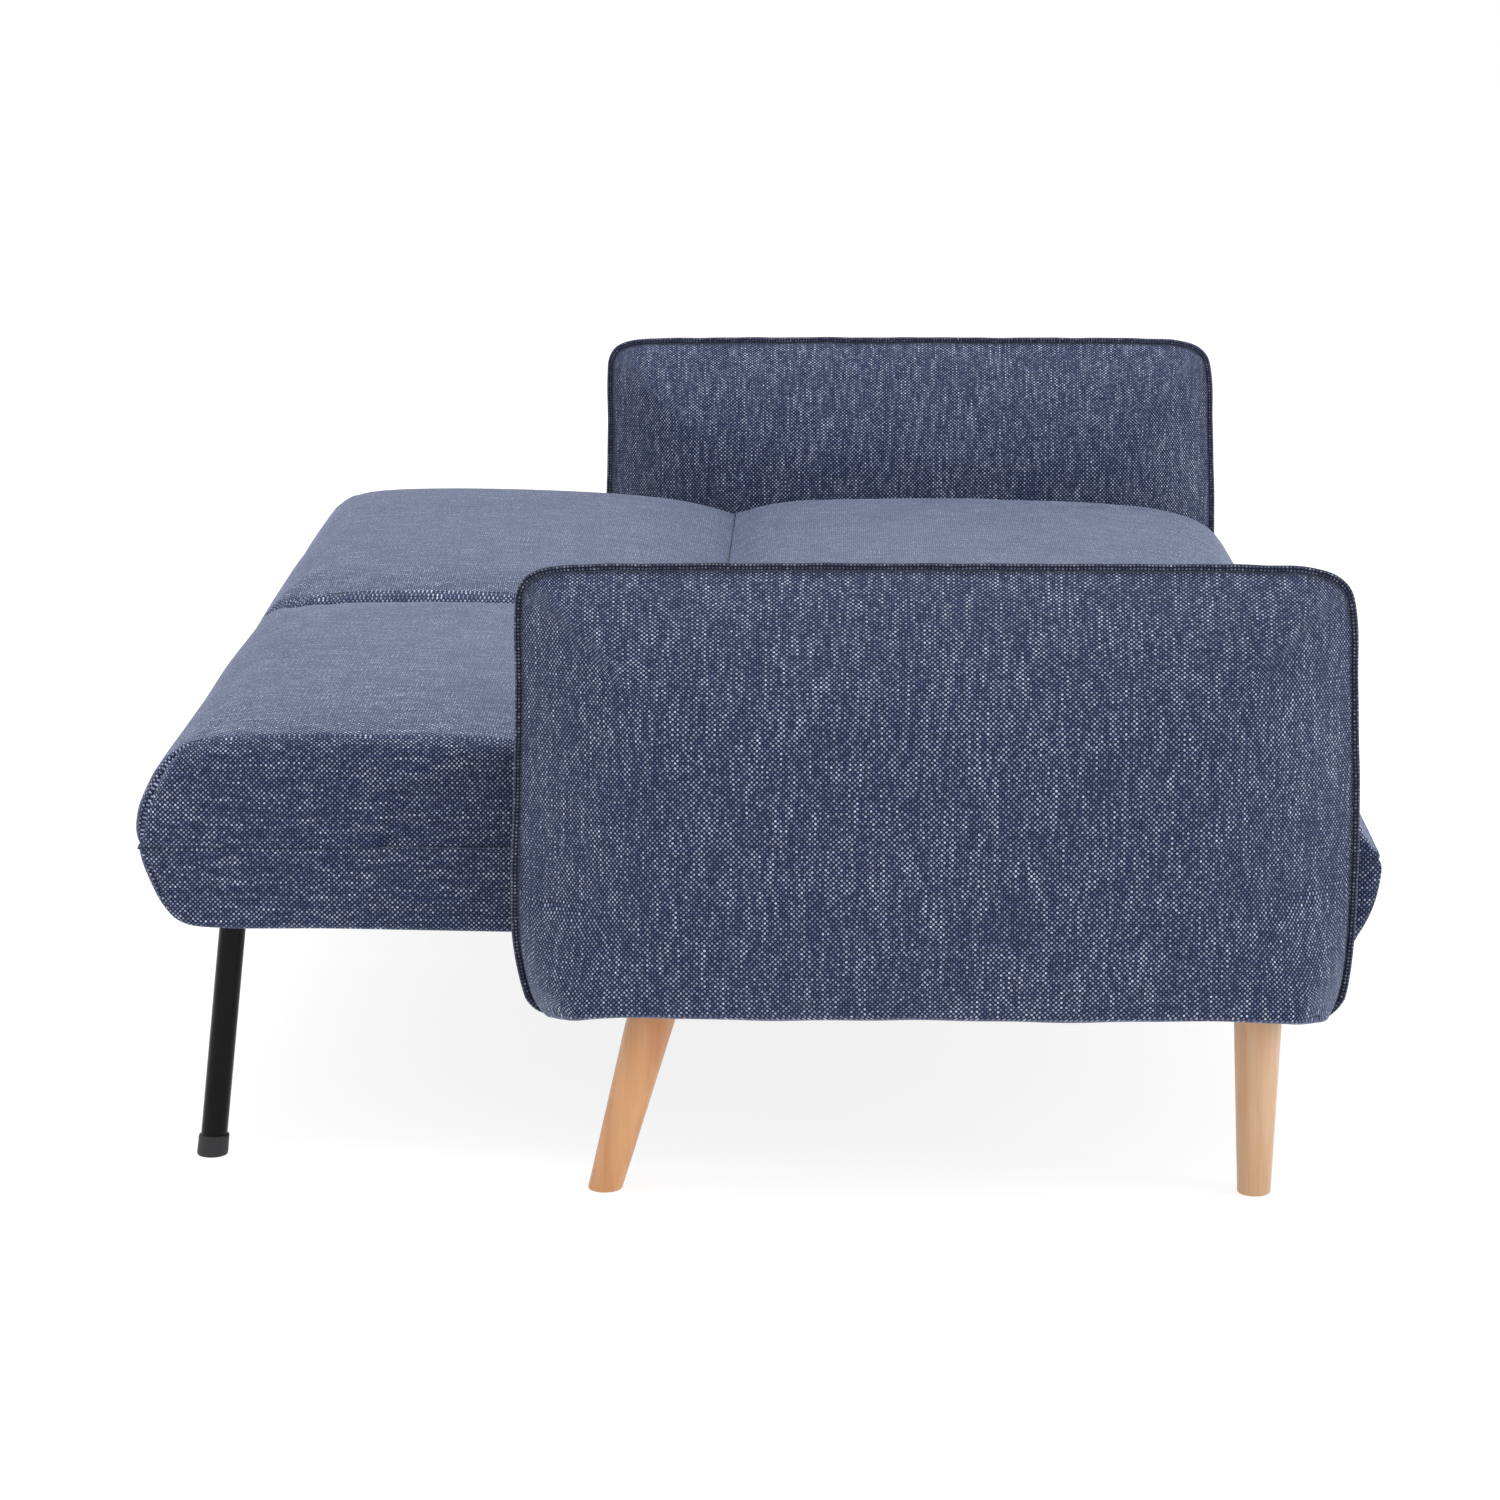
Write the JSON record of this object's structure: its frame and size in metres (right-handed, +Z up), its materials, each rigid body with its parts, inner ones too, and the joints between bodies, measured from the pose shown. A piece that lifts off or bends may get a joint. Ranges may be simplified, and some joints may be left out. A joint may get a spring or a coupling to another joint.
{
  "type": "futon sofa bed",
  "caption": "Click-clack futon sofa bed, upholstered box arms on tapered beech legs, split back folding flat onto folding steel support legs.",
  "frame": {"origin": "on the floor, under the middle of the bed's bounding box", "axes": "+X along the sofa towards its right arm as a person standing in front sees it, -Y to the sofa's front, +Z up; the back lies flat towards +Y at rest"},
  "size_m": [1.81, 1.1657, 0.592],
  "materials": {
    "navy_weave": "matte",
    "beech": "satin",
    "pine": "matte",
    "plywood": "matte",
    "zinc_steel": "satin",
    "black_steel": "gloss",
    "black_plastic": "matte"
  },
  "bodies": {
    "base": {"arm_bolt_front_left": "zinc_steel", "arm_bolt_front_right": "zinc_steel", "arm_bolt_rear_left": "zinc_steel", "arm_bolt_rear_right": "zinc_steel", "arm_left_core": "pine", "arm_left_pad": "navy_weave", "arm_right_core": "pine", "arm_right_pad": "navy_weave", "hinge_left_inner_pin": "zinc_steel", "hinge_left_inner_seat_plate": "zinc_steel", "hinge_left_outer_pin": "zinc_steel", "hinge_left_outer_seat_plate": "zinc_steel", "hinge_right_inner_pin": "zinc_steel", "hinge_right_inner_seat_plate": "zinc_steel", "hinge_right_outer_pin": "zinc_steel", "hinge_right_outer_seat_plate": "zinc_steel", "leg_front_left": "beech", "leg_front_left_stud": "zinc_steel", "leg_front_right": "beech", "leg_front_right_stud": "zinc_steel", "leg_rear_left": "beech", "leg_rear_left_stud": "zinc_steel", "leg_rear_right": "beech", "leg_rear_right_stud": "zinc_steel", "seat_centre_rail": "pine", "seat_front_cover": "navy_weave", "seat_front_rail": "pine", "seat_hinge_block": "pine", "seat_pad": "navy_weave", "seat_rear_rail": "pine", "seat_side_rail_left": "pine", "seat_side_rail_right": "pine", "seat_spring_left_1": "zinc_steel", "seat_spring_left_2": "zinc_steel", "seat_spring_right_1": "zinc_steel", "seat_spring_right_2": "zinc_steel"},
    "back_left": {"back_left_end_cover": "navy_weave", "back_left_inner_rail": "pine", "back_left_outer_rail": "pine", "back_left_pad": "navy_weave", "back_left_panel": "plywood", "back_left_rear_cover": "navy_weave", "back_left_top_rail": "pine", "hinge_left_inner_back_plate": "zinc_steel", "hinge_left_outer_back_plate": "zinc_steel", "support_leg_left_bracket": "black_steel"},
    "back_right": {"back_right_end_cover": "navy_weave", "back_right_inner_rail": "pine", "back_right_outer_rail": "pine", "back_right_pad": "navy_weave", "back_right_panel": "plywood", "back_right_rear_cover": "navy_weave", "back_right_top_rail": "pine", "hinge_right_inner_back_plate": "zinc_steel", "hinge_right_outer_back_plate": "zinc_steel", "support_leg_right_bracket": "black_steel"},
    "support_leg_left": {"support_leg_left_cap": "black_plastic", "support_leg_left_tube": "black_steel"},
    "support_leg_right": {"support_leg_right_cap": "black_plastic", "support_leg_right_tube": "black_steel"}
  },
  "joints": [
    {"name": "back_left_recline", "type": "hinge", "parent": "base", "child": "back_left", "pos_m": [-0.381, 0.0535, 0.366], "axis": [1, 0, 0], "range_deg": [0, 75]},
    {"name": "support_leg_left_fold", "type": "hinge", "parent": "back_left", "child": "support_leg_left", "pos_m": [-0.7335, 0.4908, 0.262], "axis": [-1, 0, 0], "range_deg": [0, 95]},
    {"name": "back_right_recline", "type": "hinge", "parent": "base", "child": "back_right", "pos_m": [0.381, 0.0535, 0.366], "axis": [1, 0, 0], "range_deg": [0, 75]},
    {"name": "support_leg_right_fold", "type": "hinge", "parent": "back_right", "child": "support_leg_right", "pos_m": [0.7335, 0.4908, 0.262], "axis": [-1, 0, 0], "range_deg": [0, 95]}
  ]
}
